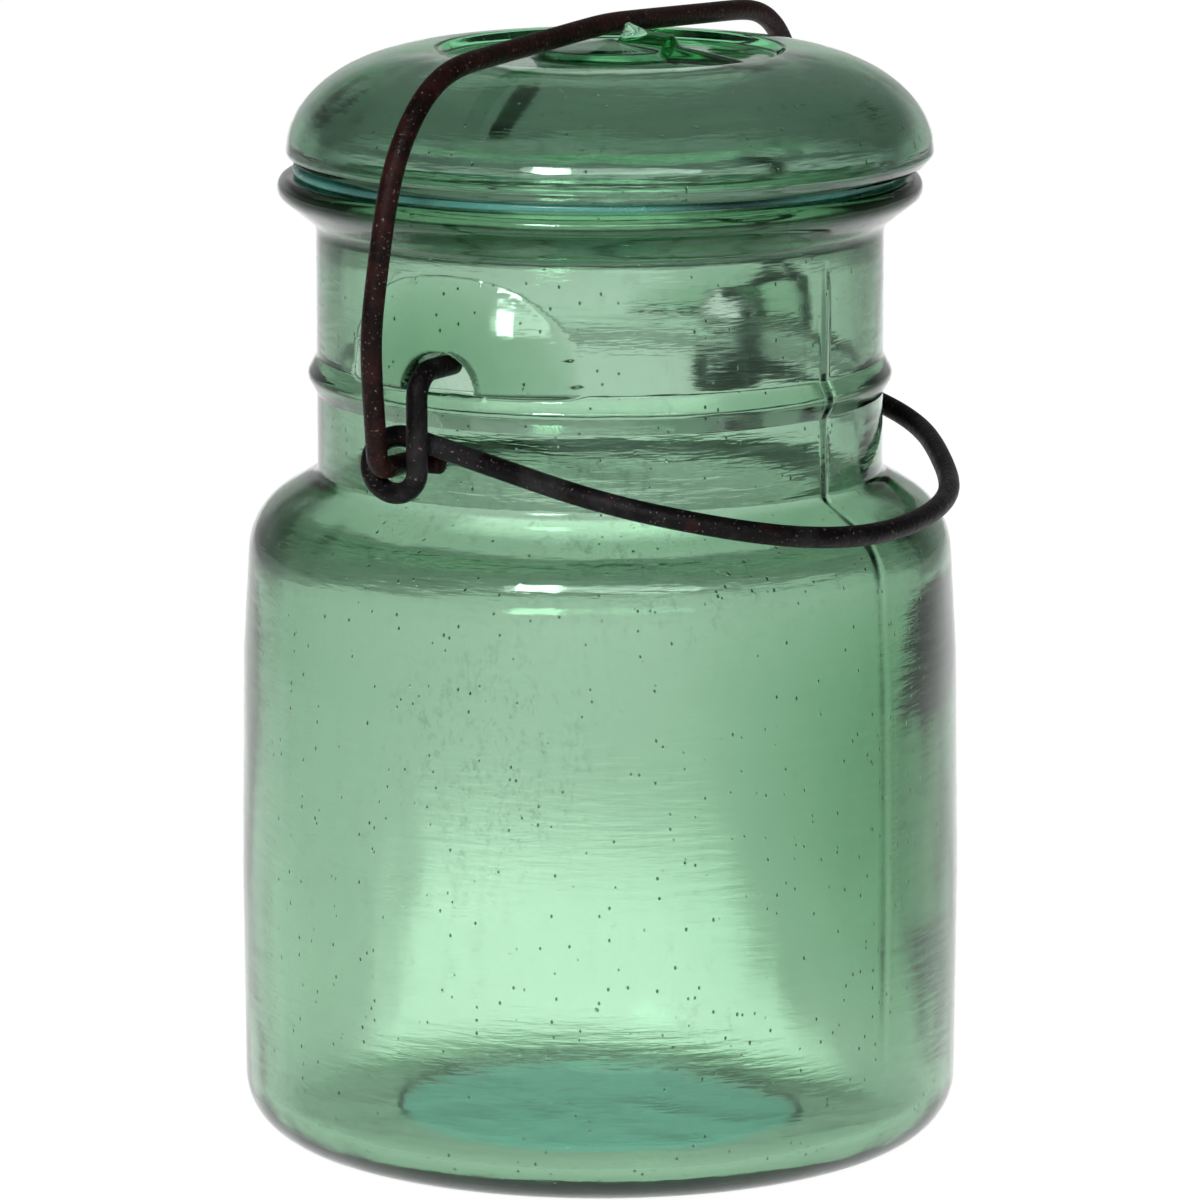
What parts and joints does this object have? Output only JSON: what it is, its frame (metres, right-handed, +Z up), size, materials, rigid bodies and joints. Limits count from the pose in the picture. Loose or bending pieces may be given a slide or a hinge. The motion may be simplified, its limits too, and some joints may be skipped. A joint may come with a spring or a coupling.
{
  "type": "bail closure glass jar",
  "caption": "Pale green glass preserving jar with a domed glass lid, a thin sealing ring, and a bail wire tightened by a swinging lever wire.",
  "frame": {"origin": "centre of the underside of the jar, on the jar's axis", "axes": "+Z up along the jar's axis; X along the pivot line of the wires; the lever's loop reaches towards -Y"},
  "size_m": [0.1001, 0.092, 0.138],
  "materials": {
    "jar_glass": "clear pale green, slightly wavy with seed bubbles",
    "lid_glass": "clear pale green, slightly wavy with seed bubbles",
    "ring_rubber": "thin translucent gasket",
    "lever_iron": "aged dark wire with grey patina and rust",
    "bail_iron": "aged reddish-brown rusty wire"
  },
  "bodies": {
    "jar": {"glass_jar": "jar_glass", "sealing_ring": "ring_rubber"},
    "lid": {"glass_lid": "lid_glass"},
    "lever": {"lever_wire": "lever_iron"},
    "bail": {"bail_wire": "bail_iron"}
  },
  "joints": [
    {"name": "lever_swing", "type": "hinge", "parent": "jar", "child": "lever", "pos_m": [0, 0, 0.0996], "axis": [-1, 0, 0], "range_deg": [0, 50]},
    {"name": "bail_swing", "type": "hinge", "parent": "lever", "child": "bail", "pos_m": [0, 0.0038, 0.0881], "axis": [1, 0, 0], "range_deg": [0, 38]},
    {"name": "lid_lift", "type": "slide", "parent": "jar", "child": "lid", "axis": [0, 0, 1], "range_m": [0, 0.00025]}
  ],
  "couplings": [
    {"joint": "bail_swing", "follows": "lever_swing", "ratio": 0.75}
  ]
}
